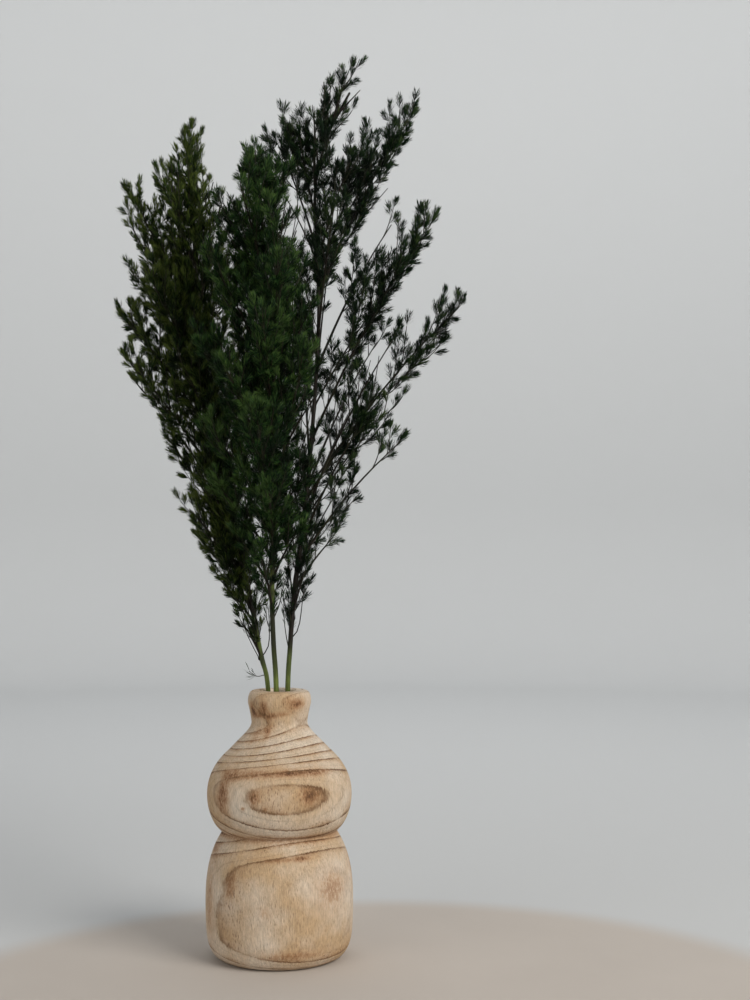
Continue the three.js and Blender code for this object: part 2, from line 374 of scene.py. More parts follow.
def ring_number(radii, angles, heights):
    route = [np.interp(heights, PITH_ROUTE[:, 0], column) for column in PITH_ROUTE.T]
    _, off_axis, ovalness, farthest, growth, lopsided = route
    turned = angles - np.radians(farthest)
    distance = radii + growth + off_axis * np.cos(turned) + ovalness * np.cos(2 * turned)
    distance += lopsided * np.sin(turned) * (1 - np.cos(turned))
    for depth, wave, round_trunk in RIPPLES:
        distance += depth * np.sin(heights / wave + round_trunk * angles)
    return (distance - RING_EDGE) / RING_WIDTH + EDGE_NUMBER


belly_rings = ring_number(np.array([58.4, 57.7]), np.zeros(2), np.array([50.0, 130.0]))
print("ring numbers in front of the two bellies:", belly_rings.round(2))

# %% [markdown]
# ## Burn marks
#
# The surface was passed over with a flame and wire-brushed, which leaves brown scorched patches
# and blurs the ring lines here and there. Most scorch follows the rings and belongs to the
# material. The larger single patches and the blurred places are soft oval spots, placed here by
# angle and height. A soft brown band lies in the waist groove, partly burn and partly painted
# shade where the groove lies in shadow.

# %% Scorch marks
# Angle from the front in degrees, height, half size round the vase and half size upwards in
# millimetres, and strength.
SCORCH_MARKS = [
    (-58, 198, 3.5, 6, 0.9),
    (-27, 201, 3.4, 5, 0.8),
    (-46, 194.5, 7, 3, 0.7),
    (-14, 194, 8, 2.6, 0.65),
    (12, 195.5, 6, 1.8, 0.45),
    (37, 203, 8, 4, 0.85),
    (-22, 182, 6, 6, 0.3),
    (-40, 178, 4, 6, 0.4),
    (-19, 182, 2, 5, 0.5),
    (-26, 125.5, 1.6, 1.2, 0.9),
    (-8, 125.5, 1.4, 1.2, 0.9),
    (28, 136, 7.5, 5.5, 0.85),
    (-17, 135, 4.5, 5, 0.9),
    (-38, 150, 13, 4, 0.65),
    (-14, 152, 13, 3.5, 0.6),
    (12, 153, 13, 2.8, 0.75),
    (36, 152.5, 12, 3, 0.6),
    (-47, 134, 7, 14, 0.85),
    (-38, 66, 5, 13, 0.45),
    (49, 61, 16, 14, 0.52),
    (-66, 48, 9, 34, 0.4),
    (4, 86.5, 22, 1.8, 0.5),
    (-8, 47.6, 5, 5, 0.3),
    (16, 14, 24, 3.5, 0.5),
    (22, 87.3, 5, 1.6, 0.7),
    (95, 70, 14, 12, 0.5),
    (130, 128, 9, 7, 0.8),
    (165, 50, 10, 16, 0.55),
    (215, 138, 12, 6, 0.7),
    (250, 30, 12, 8, 0.5),
    (120, 200, 6, 5, 0.8),
    (200, 196, 5, 6, 0.7),
    (285, 88, 9, 4, 0.6),
]
# The band in the waist groove, partly burn and partly painted shade: height, half its height
# and strength.
WAIST_BURN_AND_SHADE = (100.5, 3.2, 0.45)
# Places where brushing has blurred the ring lines, given in the same way.
BLURRED_LINES = [
    (-30, 46, 30, 34, 0.95),
    (10, 40, 50, 30, 0.6),
    (-52, 134, 13, 13, 0.95),
    (3, 134, 30, 11, 0.75),
    (-20, 146, 24, 5, 0.7),
    (0, 200, 40, 14, 0.85),
    (60, 196, 20, 14, 0.6),
    (170, 60, 40, 30, 0.7),
    (200, 140, 30, 12, 0.7),
]
print(len(SCORCH_MARKS), "scorch marks,", len(BLURRED_LINES), "blurred places")


# %% Spots on the surface
def spots(marks, radii, angles, heights):
    total = np.zeros_like(heights)
    for degrees, height, half_width, half_height, strength in marks:
        turned = np.mod(angles - math.radians(degrees) + np.pi, 2 * np.pi) - np.pi
        sideways = turned * radii / half_width
        upwards = (heights - height) / half_height
        total += strength * np.exp(-(sideways**2) - upwards**2)
    return total


def scorch_and_shade_amount(radii, angles, heights):
    total = spots(SCORCH_MARKS, radii, angles, heights)
    # The waist band is partly a brown burn and partly painted shade in the groove.
    height, half_height, strength = WAIST_BURN_AND_SHADE
    outside = radii > BORE_RADIUS + 1
    total += outside * strength * np.exp(-(((heights - height) / half_height) ** 2))
    return np.clip(total, 0, 1)


# In the waist groove this value is burn and painted shade together.
groove = scorch_and_shade_amount(np.array([WAIST[0]]), np.zeros(1), np.array([WAIST[1]]))
print("scorch in the waist groove:", groove.round(2))

# %% [markdown]
# The outline is turned round the axis in 216 steps. Both closing points on the axis become fans.

# %% Turn the vase
VASE_STEPS = 216


def turn_vase():
    turns = np.linspace(0, 2 * np.pi, VASE_STEPS, endpoint=False)
    ring_outline = outline[1:-1]
    radii, angles = np.meshgrid(ring_outline[:, 0], turns, indexing="ij")
    heights = np.repeat(ring_outline[:, 1:], VASE_STEPS, axis=1)
    places = np.stack([radii * np.sin(angles), -radii * np.cos(angles), heights], axis=-1)
    rows = len(ring_outline)
    grid, beside, quads = turned_grid(rows, VASE_STEPS)
    foot = rows * VASE_STEPS
    bore = foot + 1
    fans = [
        np.stack([np.full(VASE_STEPS, foot), beside[0], grid[0]], axis=-1),
        np.stack([np.full(VASE_STEPS, bore), grid[-1], beside[-1]], axis=-1),
    ]
    points = np.concatenate([places.reshape(-1, 3), [[0, 0, 0], [0, 0, BORE_FLOOR]]])
    flat = (radii.ravel(), angles.ravel(), heights.ravel())
    rings = np.append(ring_number(*flat), [EDGE_NUMBER - RING_EDGE / RING_WIDTH] * 2)
    # Burn spots, and burn with painted shade in the waist groove.
    scorch = np.append(scorch_and_shade_amount(*flat), [0, 0])
    crisp = np.append(1 - np.clip(spots(BLURRED_LINES, *flat), 0, 1), [1, 1])
    growth = Growth("ring", "scorch", "crisp")
    growth.add(points * MM, [quads, *fans], ring=rings, scorch=scorch, crisp=crisp)
    return growth.make("vase_turned", smooth=True)


vase = turn_vase()
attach(vase, "root")
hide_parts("vase")

# %% [markdown]
# ## Paulownia wood
#
# Paulownia is very light, pale and ring-porous: each ring starts with large open pores and ends in
# a thin dark line. The material reads the ring number, and works in real millimetres, so the
# pattern runs through the solid as it does in wood:
#
# - a thin dark line at each ring's edge and a scorched band inside it that comes and goes
# - pores as short dashes about 0.5 mm wide and 3 mm long, drawn out along the trunk
# - fine fibres along the trunk and soft lighter and darker areas
#
# Each pattern is a plain table here, so that the network itself can be built in loops. Noise is
# given in cells to the metre: 1000 across and 150 along makes fibres 1 mm wide and 7 mm long. A
# ramp turns the share of the way through a ring, or a noise, into a grey.

# %% Wood patterns
# Cells to the metre across and along the trunk, detail and roughness.
WOOD_NOISES = {
    "ragged": (700, 260, 3, 0.5),
    "speckle": (520, 240, 4, 0.75),
    "fibres": (1000, 150, 4, 0.6),
    "ridges": (420, 150, 3, 0.65),
    "patches": (34, 34, 5, 0.6),
    "areas": (24, 24, 3, 0.5),
    "depths": (70, 70, 3, 0.5),
}
# Long cells whose middles are pores: cells to the metre across and along, and their ramp.
PORE_CELLS = [(620, 150, [(0.1, 1), (0.3, 0)]), (1300, 330, [(0.12, 0.7), (0.36, 0)])]
# Across one ring: its dark edge, a fainter line before it, the scorched band, where pores are
# many, and the brown shading beside the edge.
RING_RAMPS = {
    "edge": [(0, 1), (0.035, 0.9), (0.085, 0), (0.95, 0), (1, 1)],
    "faint": [(0.66, 0), (0.71, 0.3), (0.75, 0)],
    "band": [(0, 1), (0.1, 0.85), (0.3, 0.35), (0.55, 0), (0.97, 0), (1, 0.6)],
    "early": [(0, 0.9), (0.12, 1), (0.45, 0.65), (0.9, 0.45), (1, 0.9)],
    "beside": [(0, 0.6), (0.06, 0.5), (0.26, 0), (0.9, 0), (1, 0.6)],
}
# From a noise: where the flame caught, its broken edges, thinned pores, warmer areas, the shading
# of fibres and ridges, how deep a ring line is, and the roughness of the brushed surface.
NOISE_RAMPS = {
    "caught": ("patches", [(0.38, 0.1), (0.6, 1)]),
    "broken": ("speckle", [(0.32, 0.3), (0.6, 1)]),
    "thinned": ("patches", [(0.36, 0.45), (0.58, 1)]),
    "warm": ("areas", [(0.36, 0), (0.64, 1)]),
    "fibre_shade": ("fibres", [(0.3, 0.76), (0.68, 1)]),
    "ridge_shade": ("ridges", [(0.35, 0.86), (0.62, 1)]),
    "depth": ("depths", [(0.35, 0.25), (0.6, 0.95)]),
    "roughness": ("fibres", [(0.3, 0.8), (0.7, 0.62)]),
}
# How much of each colour a burn of 0 to 1 shows, from light scorch to char.
BURN_COLOURS = [
    ([(0, 0), (0.3, 0.55), (1, 1)], "#b98d62"),
    ([(0.22, 0), (0.7, 0.9)], "#865a3a"),
    ([(0.55, 0), (1, 0.8)], "#38220f"),
]
print("wood patterns:", len(WOOD_NOISES) + len(PORE_CELLS) + len(RING_RAMPS) + len(NOISE_RAMPS))

# %% [markdown]
# The colours are laid over each other from the palest wood to the darkest burn. The finish is
# bare, burnt and brushed, so the roughness is high, about 0.7, with IOR 1.5. Brushing leaves
# ridges, and pores and ring lines lie a little deeper than the rest: both are a small bump.


# %% Wood material
def make_wood():
    material, tree, shader = new_material("paulownia wood, burnt and brushed")
    place = add_node(tree, "TexCoord", "Object")
    names = ("ring", "scorch", "crisp")
    ring, scorch, crisp = [add_node(tree, "Attribute", "Fac", attribute_name=n) for n in names]

    noises = {}
    for name, (across, along, detail, roughness) in WOOD_NOISES.items():
        drawn = {"Vector": place, "Scale": (across, across, along)}
        cells = add_node(tree, "Mapping", "Vector", drawn)
        texture = {"Vector": cells, "Scale": 1, "Detail": detail, "Roughness": roughness}
        noises[name] = add_node(tree, "TexNoise", "Fac", texture)

    pores = []
    for across, along, stops in PORE_CELLS:
        drawn = {"Vector": place, "Scale": (across, across, along)}
        cells = add_node(tree, "Mapping", "Vector", drawn)
        texture = {"Vector": cells, "Scale": 1}
        distance = add_node(tree, "TexVoronoi", "Distance", texture, feature="F1")
        pores.append(add_node(tree, "ValToRGB", "Color", [distance], stops))
    pores = add_node(tree, "Math", "Value", pores, operation="MAXIMUM")

    # How far each point is through its ring, made a little ragged, and the greys made from it.
    ragged = [noises["ragged"], 0.2, ring]
    shifted = add_node(tree, "Math", "Value", ragged, operation="MULTIPLY_ADD")
    share = add_node(tree, "Math", "Value", [shifted], operation="FRACT")
    grey = {
        name: add_node(tree, "ValToRGB", "Color", [share], stops)
        for name, stops in RING_RAMPS.items()
    }
    for name, (noise, stops) in NOISE_RAMPS.items():
        grey[name] = add_node(tree, "ValToRGB", "Color", [noises[noise]], stops)
    lines = add_node(tree, "Math", "Value", [grey["edge"], grey["faint"]], operation="MAXIMUM")
    kept = add_node(tree, "Math", "Value", [crisp, 0.7, 0.3], operation="MULTIPLY_ADD")

    # Each mark is weakened by the things that break it up.
    marks = {
        "band_burn": [grey["band"], grey["caught"], grey["broken"], kept],
        # The spot burns also carry the painted shade of the waist groove.
        "spot_burn_and_shade": [scorch, grey["broken"]],
        "pores": [pores, grey["early"], grey["thinned"]],
        "lines": [lines, grey["depth"], crisp],
        "beside": [grey["beside"], grey["depth"], kept],
    }
    for name, (mark, *weakening) in marks.items():
        for weaker in weakening:
            mark = add_node(tree, "Math", "Value", [mark, weaker], operation="MULTIPLY")
        marks[name] = mark
    both = [marks["band_burn"], 0.5, marks["spot_burn_and_shade"]]
    burn = add_node(tree, "Math", "Value", both, operation="MULTIPLY_ADD", use_clamp=True)
    dashes = add_node(tree, "Math", "Value", [marks["pores"], 0.8], operation="MULTIPLY")

    layers = [
        (grey["warm"], "#d5b690", "MIX"),
        (1, grey["fibre_shade"], "MULTIPLY"),
        (1, grey["ridge_shade"], "MULTIPLY"),
    ]
    for stops, colour in BURN_COLOURS:
        layers.append((add_node(tree, "ValToRGB", "Color", [burn], stops), colour, "MIX"))
    layers.append((marks["beside"], "#94754f", "MIX"))
    layers.append((marks["lines"], "#5d3d24", "MIX"))
    layers.append((dashes, "#6b482c", "MIX"))
    wood = "#eedeca"
    for amount, colour, blend in layers:
        wood = add_node(tree, "MixRGB", "Color", [amount, wood, colour], blend_type=blend)

    hollow = [marks["pores"], marks["lines"]]
    hollow = add_node(tree, "Math", "Value", hollow, operation="MAXIMUM")
    relief = [hollow, -0.8, noises["fibres"]]
    relief = add_node(tree, "Math", "Value", relief, operation="MULTIPLY_ADD")
    relief = [noises["ridges"], 1.3, relief]
    relief = add_node(tree, "Math", "Value", relief, operation="MULTIPLY_ADD")
    bump = {"Height": relief, "Strength": 0.8, "Distance": 0.8 * MM}
    finish = {
        "Base Color": wood,
        "Roughness": grey["roughness"],
        "IOR": 1.5,
        "Specular IOR Level": 0.35,
        "Normal": add_node(tree, "Bump", "Normal", bump),
    }
    fill_inputs(tree, shader, finish)
    return material


vase.data.materials.append(make_wood())
print("wood nodes:", len(vase.data.materials[0].node_tree.nodes))

# %% [markdown]
# ## Where the ferns stand
#
# Each fern is one cut stem with its side branches, in millimetres. The stem's route runs from the
# bore's floor upwards. A branch is given by the place its last needles reach and the height at
# which it leaves the stem. Stem and branches are the same as in the CAD model, and the side
# branches are thinner ones that fill the fern between them. Wisps are the loose threads low on a
# stem. Then each fern has its own habit:
#
# - `dye` and `tint` name and colour its needles, from the darkest to the lightest, and `olive` is
#   how far they start towards the light end
# - `open` and `plump` say how far its brushes of needles open and how full they are
# - `twig_spacing`, `first_twig` and `twig_lengths` set the twigs along each branch, and
#   `stem_twigs` gives height and length for those on the stem itself
# - `brown` gives height and brownness along the stem, and `seed` starts its random draws

# %% Fern routes
STEM_FOOT = 47.3
FERNS = [
    {
        "name": "fern_stem_left",
        "dye": "olive",
        "radius": 2.2,
        "seed": 100,
        "olive": 0.3,
        "open": 0.9,
        "plump": 1.0,
        "twig_spacing": 6.8,
        "twig_lengths": (32, 30, 26, 12),
        "first_twig": 11,
        "stem_twigs": [(245, 5), (262, 16), (300, 30), (420, 40), (600, 34), (646, 14)],
        "brown": [(212, 0), (250, 0.08), (268, 0.35), (290, 0.6), (400, 0.55)],
        "tint": ("#060d05", "#0f1d0b", "#233713", "#4f5c28"),
        "stem": [
            (-5.5, 0.5, STEM_FOOT), (-7.4, 0.6, 130), (-9.2, 1, 212), (-15, 3, 240),
            (-25, 7, 290), (-36, 10, 332), (-46, 15, 380), (-56, 20, 437), (-64, 25, 495),
            (-70, 30, 553), (-75, 35, 606), (-76, 38, 646),
        ],
        "branches": [
            (-124, 30, 622, 470), (-134, 40, 527, 388), (-126, 6, 486, 364),
            (-126, 58, 471, 348), (-96, 20, 425, 316), (-78, 4, 368, 292), (-70, 34, 340, 276),
            (-54, 4, 312, 262), (-57, 54, 641, 556), (-105, 70, 650, 500), (-100, 104, 590, 440),
            (-85, 120, 515, 380), (-67, 108, 435, 330), (-51, 78, 365, 284),
            (-108, -6, 556, 430), (-82, -12, 489, 400), (-66, -8, 403, 310),
            (-58, 80, 580, 480), (-92, 10, 630, 536), (-32, -2, 276, 236),
        ],
        "side_branches": [
            (-36, 40, 560, 450), (-30, 26, 500, 395), (-48, 22, 615, 520), (-24, 34, 452, 352),
            (-120, 48, 592, 465), (-124, 24, 562, 440), (-116, 60, 545, 430),
            (-86, 30, 655, 575), (-66, 46, 640, 565), (-128, 34, 600, 470), (-128, 22, 520, 400),
            (-62, 12, 338, 270), (-44, 14, 300, 250), (-70, 20, 372, 290),
        ],
        "wisps": [
            [(-11.7, 1.9, 224), (-18, 0, 223), (-24, -1, 227)],
            [(-13.4, 2.4, 232), (-21, 1, 246), (-28, 0, 262), (-31, 0, 280)],
            [(-17, 3.8, 250), (-26, 2, 266), (-33, 0, 288)],
            [(-14.6, 2.9, 238), (-9, 0, 247), (-8, -1, 262), (-9, -2, 280)],
        ],
    },
    {
        "name": "fern_stem_middle",
        "dye": "green",
        "radius": 2.6,
        "seed": 200,
        "olive": 0.2,
        "open": 1.1,
        "plump": 1.0,
        "twig_spacing": 6.3,
        "twig_lengths": (36, 34, 28, 12),
        "first_twig": 12,
        "stem_twigs": [(268, 4), (290, 12), (320, 26), (400, 40), (560, 30), (600, 14)],
        "brown": [
            (212, 0.05), (240, 0.2), (252, 0.5), (270, 0.4), (284, 0.05), (322, 0), (350, 0.4),
        ],
        "tint": ("#060e06", "#0d200d", "#1f3c1a", "#48602f"),
        "stem": [
            (-1, -6.2, STEM_FOOT), (-1.4, -7.4, 130), (-2, -8.6, 212), (-4, -12, 250),
            (-5, -15, 286), (-4, -19, 320), (-2, -25, 364), (-3, -33, 418), (-5, -43, 480),
            (-8, -52, 540), (-10, -58, 580), (-11, -62, 600),
        ],
        "branches": [
            (-41, -56, 598, 510), (-53, -62, 558, 455), (-58, -60, 489, 395),
            (-53, -54, 425, 345), (-44, -44, 379, 315), (19, -62, 580, 500),
            (28, -62, 516, 440), (33, -56, 452, 385), (28, -46, 398, 340), (18, -34, 348, 300),
            (-29, -34, 340, 290), (-5, -124, 506, 390), (-11, -114, 435, 330),
            (-2, -88, 377, 310), (10, -98, 588, 480), (-25, -92, 606, 520), (24, -92, 478, 360),
            (-36, -96, 470, 365), (-12, -58, 330, 278), (6, -118, 545, 425),
        ],
        "side_branches": [
            (-34, -40, 540, 440), (8, -50, 560, 465), (-18, -30, 470, 370), (-26, -50, 618, 555),
            (2, -56, 614, 545), (-14, -74, 622, 565), (-40, -48, 585, 500),
        ],
        "wisps": [
            [(-4.6, -13.6, 268), (1, -16, 282), (5, -17, 300)],
            [(-5, -15, 285), (-11, -16, 296), (-15, -16, 312)],
            [(-4.2, -12.5, 255), (-9, -14, 268), (-10, -15, 284)],
        ],
    },
    {
        "name": "fern_stem_right",
        "dye": "dark green",
        "radius": 2.5,
        "seed": 300,
        "olive": 0.06,
        "open": 1.1,
        "plump": 1.2,
        "twig_spacing": 8.4,
        "twig_lengths": (24, 32, 30, 14),
        "first_twig": 32,
        "stem_twigs": [
            (255, 8), (275, 20), (300, 26), (420, 24), (450, 10), (560, 8), (620, 30), (672, 30),
            (706, 20),
        ],
        "brown": [(212, 0.08), (240, 0.12), (256, 0.7), (300, 0.8), (700, 0.6)],
        "tint": ("#050c06", "#0b1c0d", "#1b321a", "#43532d"),
        "stem": [
            (4.5, 4.5, STEM_FOOT), (5.3, 5.4, 130), (6.2, 6.4, 212), (8, 8, 245),
            (10, 10, 275), (14, 13, 313), (19, 17, 352), (24, 22, 405), (28, 30, 463),
            (30, 38, 521), (28, 46, 584), (27, 52, 627), (38, 57, 672), (55, 61, 706),
        ],
        "branches": [
            (46, 28, 344, 290), (100, 25, 420, 312), (149, 29, 531, 364), (123, 18, 596, 412),
            (108, 56, 693, 533), (58, 26, 651, 560), (-8, 74, 676, 570), (94, 92, 612, 470),
            (59, 92, 455, 340), (37, 122, 585, 440), (47, 78, 382, 300), (81, 112, 513, 372),
            (12, 100, 512, 395), (26, 44, 698, 610), (44, 0, 606, 500), (92, 2, 500, 350),
            (68, 88, 660, 545), (66, 2, 432, 325), (22, 2, 318, 268),
        ],
        "side_branches": [
            (-12, 50, 645, 560), (6, 62, 680, 598), (14, 68, 668, 585), (34, 40, 722, 664),
            (57, 34, 728, 676), (70, 40, 714, 680), (60, 66, 700, 660), (98, 50, 668, 560),
            (92, 46, 634, 540), (112, 24, 572, 440), (134, 26, 500, 372), (98, 20, 452, 345),
            (10, 60, 590, 480), (4, 40, 540, 430), (16, 26, 440, 350), (-2, 22, 392, 310),
            (30, 26, 372, 290), (2, 14, 350, 280), (40, 48, 716, 660), (24, 46, 700, 640),
        ],
        "wisps": [
            [(8.5, 8.5, 252), (15, 9, 262), (19, 8, 290), (24, 8, 312)],
            [(7.7, 7.8, 240), (4, 6, 262), (3, 4, 285)],
            [(9.4, 9.4, 266), (4, 6, 280), (2, 3, 300)],
        ],
    },
]
print("branches:", [len(fern["branches"] + fern["side_branches"]) for fern in FERNS])

# %% [markdown]
# A route is turned into a smooth line through its points, and every line here is walked by its
# true length, so that nodes and tufts keep even distances however the line bends.


# %% Lines
def unit(vectors):
    return vectors / np.maximum(np.linalg.norm(vectors, axis=-1, keepdims=True), 1e-9)


def across(headings):
    """Two directions across each heading."""
    guide = np.where(np.abs(headings[..., 2:]) > 0.9, [1.0, 0.0, 0.0], [0.0, 0.0, 1.0])
    first = unit(np.cross(headings, guide))
    return first, np.cross(headings, first)


class Line:
    def __init__(self, samples):
        self.samples = samples
        steps = np.linalg.norm(np.diff(samples, axis=0), axis=1)
        self.walked = np.concatenate([[0], np.cumsum(steps)])
        self.length = self.walked[-1]

    def at(self, distances):
        columns = [np.interp(distances, self.walked, column) for column in self.samples.T]
        return np.stack(columns, axis=-1)

    def heading(self, distances):
        ahead = self.at(np.minimum(np.asarray(distances) + 1, self.length))
        behind = self.at(np.maximum(np.asarray(distances) - 1, 0))
        return unit(ahead - behind)


print("stem lengths:", [round(Line(through(fern["stem"])).length) for fern in FERNS], "mm")

# %% [markdown]
# ## The smallest parts
#
# Stems, branches and twigs are tubes that taper and end in a point. Blender's own curves could
# make them, but a tube in mesh code carries a colour number for each of its rings.

# %% Tubes
TUBE_GUIDE = (0.31, 0.85, 0.42)


def add_tube(growth, points, radii, sides, **values):
    chord = unit(points[-1] - points[0])
    guide = unit(np.cross(chord, TUBE_GUIDE))
    headings = unit(np.gradient(points, axis=0))
    first = unit(guide - (headings @ guide)[:, None] * headings)
    second = np.cross(headings, first)
    turns = np.linspace(0, 2 * np.pi, sides, endpoint=False)
    around = first[:, None] * np.cos(turns)[:, None] + second[:, None] * np.sin(turns)[:, None]
    rings = points[:, None] + around * np.asarray(radii)[:, None, None]
    count = len(points)
    tip = points[-1] + headings[-1] * radii[-1]
    grid, beside, quads = turned_grid(count, sides)
    cone = np.stack([grid[-1], beside[-1], np.full(sides, count * sides)], axis=-1)
    root = grid[0][None, ::-1]
    spread = {}
    for name, value in values.items():
        per_ring = np.repeat(np.broadcast_to(value, count), sides)
        spread[name] = np.append(per_ring, per_ring[-1])
    growth.add(np.concatenate([rings.reshape(-1, 3), [tip]]), [quads, cone, root], **spread)


trial = Growth()
add_tube(trial, np.array([[0.0, 0, 0], [0, 0, 1], [0, 0, 2]]), [1, 1, 1], 6)
print("a tube of 3 rings:", trial.triangles(), "triangles")

# %% [markdown]
# A needle is a narrow flat blade of two faces, widest beyond its middle and bowed outwards, with
# its flat side facing out. A round needle would need six faces or more, and two faces each let
# there be enough of them. Needles are made by the thousand in one step.

# %% Needle blades
BLADE_FACES = np.array([(0, 1, 2), (1, 3, 2)])
BLADE_WIDEST = 0.62
BLADE_BOW = 0.07


def add_numbered(growth, points, faces, values):
    """Adds many small parts of the same make: points (count, points of one, 3)."""
    count, size = points.shape[:2]
    numbered = (faces[None] + size * np.arange(count)[:, None, None]).reshape(-1, 3)
    flat = {name: np.asarray(value).reshape(-1) for name, value in values.items()}
    growth.add(points, [numbered], **flat)


def add_blades(growth, bases, tips, outward, half_widths, **values):
    """Needles from bases to tips, bowed outward. Each of their four points has its value."""
    if not len(bases):
        return
    reach = tips - bases
    side = unit(np.cross(unit(reach), outward)) * half_widths[:, None]
    bow = outward * np.linalg.norm(reach, axis=1)[:, None] * BLADE_BOW
    middles = bases + reach * BLADE_WIDEST + bow
    points = np.stack([bases, middles + side, middles - side, tips], axis=1)
    add_numbered(growth, points, BLADE_FACES, values)


trial = Growth()
add_blades(trial, np.zeros((1, 3)), np.ones((1, 3)), np.array([[1.0, 0, 0]]), np.ones(1))
print("a needle:", trial.triangles(), "triangles")

# %% [markdown]
# The core of a brush and the papery scale leaf at each node are spindles: three-sided, thickest in
# the middle, and pointed at both ends.

# %% Spindles
SPINDLE_FACES = np.array([(0, 2, 1), (0, 3, 2), (0, 1, 3), (4, 1, 2), (4, 2, 3), (4, 3, 1)])


def add_spindles(growth, bases, middles, tips, radii, **values):
    """Spindles from bases over middles to tips. A value is given for each of the five points."""
    if not len(bases):
        return
    first, second = across(unit(tips - bases))
    points = np.empty((len(bases), 5, 3))
    points[:, 0] = bases
    points[:, 4] = tips
    for corner in range(3):
        turn = 2 * np.pi * corner / 3
        around = first * math.cos(turn) + second * math.sin(turn)
        points[:, corner + 1] = middles + radii[:, None] * around
    add_numbered(growth, points, SPINDLE_FACES, values)


trial = Growth()
add_spindles(trial, np.zeros((1, 3)), np.full((1, 3), 0.5), np.ones((1, 3)), np.ones(1))
print("a spindle:", trial.triangles(), "triangles")

# %% [markdown]
# ## Gaps in the foliage
#
# Light shows through the ferns in places, most of all through the right one. Each gap is an oval
# in the plane of the vase's axis, seen from the camera, with the share of its brushes that are
# missing. The brushes there aren't grown, and most of their twigs neither, so that only a few
# bare twigs cross a gap, as on the real fern.

# %% Gaps
# Across, height, half width and half height in millimetres, and the share that is missing.
GAPS = [
    (-46, 636, 17, 30, 1.0), (-114, 412, 22, 38, 0.6), (78, 578, 15, 13, 0.6),
    (112, 534, 11, 12, 1.0), (101, 502, 12, 16, 0.6), (80, 478, 13, 13, 0.7),
    (39, 507, 18, 22, 0.5), (48, 425, 16, 44, 0.5), (28, 426, 13, 30, 0.7),
    (94, 440, 12, 18, 0.9), (-114, 566, 11, 20, 0.4), (-50, 602, 11, 14, 0.5),
    (-86, 630, 14, 18, 0.4), (33, 364, 11, 15, 0.6), (-8, 312, 8, 10, 0.2),
    (-71, 412, 9, 14, 0.5), (-30, 268, 9, 10, 0.5), (12, 588, 12, 24, 0.5),
    (75, 384, 13, 15, 1.0), (16, 680, 20, 14, 0.7), (33, 702, 8, 12, 0.7), (-18, 664, 10, 10, 0.4),
    (66, 690, 10, 10, 0.8), (86, 614, 10, 12, 0.8), (48, 594, 10, 10, 0.4), (-72, 690, 22, 14, 1.0),
    (-92, 338, 20, 46, 0.8), (-60, 292, 14, 24, 1.0), (-98, 652, 14, 20, 0.6),
]


def missing_share(places):
    """The share of brushes that is missing at each place, from 0 to 1."""
    eye = np.array(CAMERA_PLACE) / MM
    nearness = -eye[1] / (places[:, 1] - eye[1])
    sideways = eye[0] + (places[:, 0] - eye[0]) * nearness
    height = eye[2] + (places[:, 2] - eye[2]) * nearness
    share = np.zeros(len(places))
    for x, z, half_width, half_height, missing in GAPS:
        reach = np.hypot((sideways - x) / half_width, (height - z) / half_height)
        share = np.maximum(share, missing * np.clip(2.4 - 2 * reach, 0, 1))
    return share


first_gap = np.array([[GAPS[0][0], 0, GAPS[0][1]]])
print(len(GAPS), "gaps; missing in the middle of the first:", missing_share(first_gap))

# %% [markdown]
# ## How a ming fern grows
#
# A ming fern isn't a fern but an asparagus. Its foliage is soft needles, 6 to 9 mm long and under
# half a millimetre thick, that crowd on short shoots and curl in at their tips, so that each shoot
# looks like a small paintbrush about 16 mm long and 8 mm wide. The brushes stand left and right
# along thin twigs, the twigs stand round a branch, and all of them lean forwards. Growing it by
# those rules gives the right texture at every distance, which modelling one brush and repeating
# it wouldn't.
#
# First one brush. Its needles leave a thin core all along it and lean outwards, less so towards
# its end. At this picture's size a true needle would be thinner than a pixel and vanish, so each
# blade is drawn 0.6 mm wide. Nothing grows past the CAD model's box.

# %% Brushes of needles
NEEDLES_IN_BRUSH = 48
NEEDLE_LENGTHS = (8, 7)
NEEDLE_HALF_WIDTH = 0.31
NEEDLE_LEAN = (0.66, 0.48)
CORE_RADIUS = 0.28
CORE_BROWN = 0.4
NEEDLE_MARGIN = 0.5
BRUSH_MARGIN = 2


def in_box(fern, places, margin):
    low, high = fern["box"]
    return np.all((places > low + margin) & (places < high - margin), axis=1)


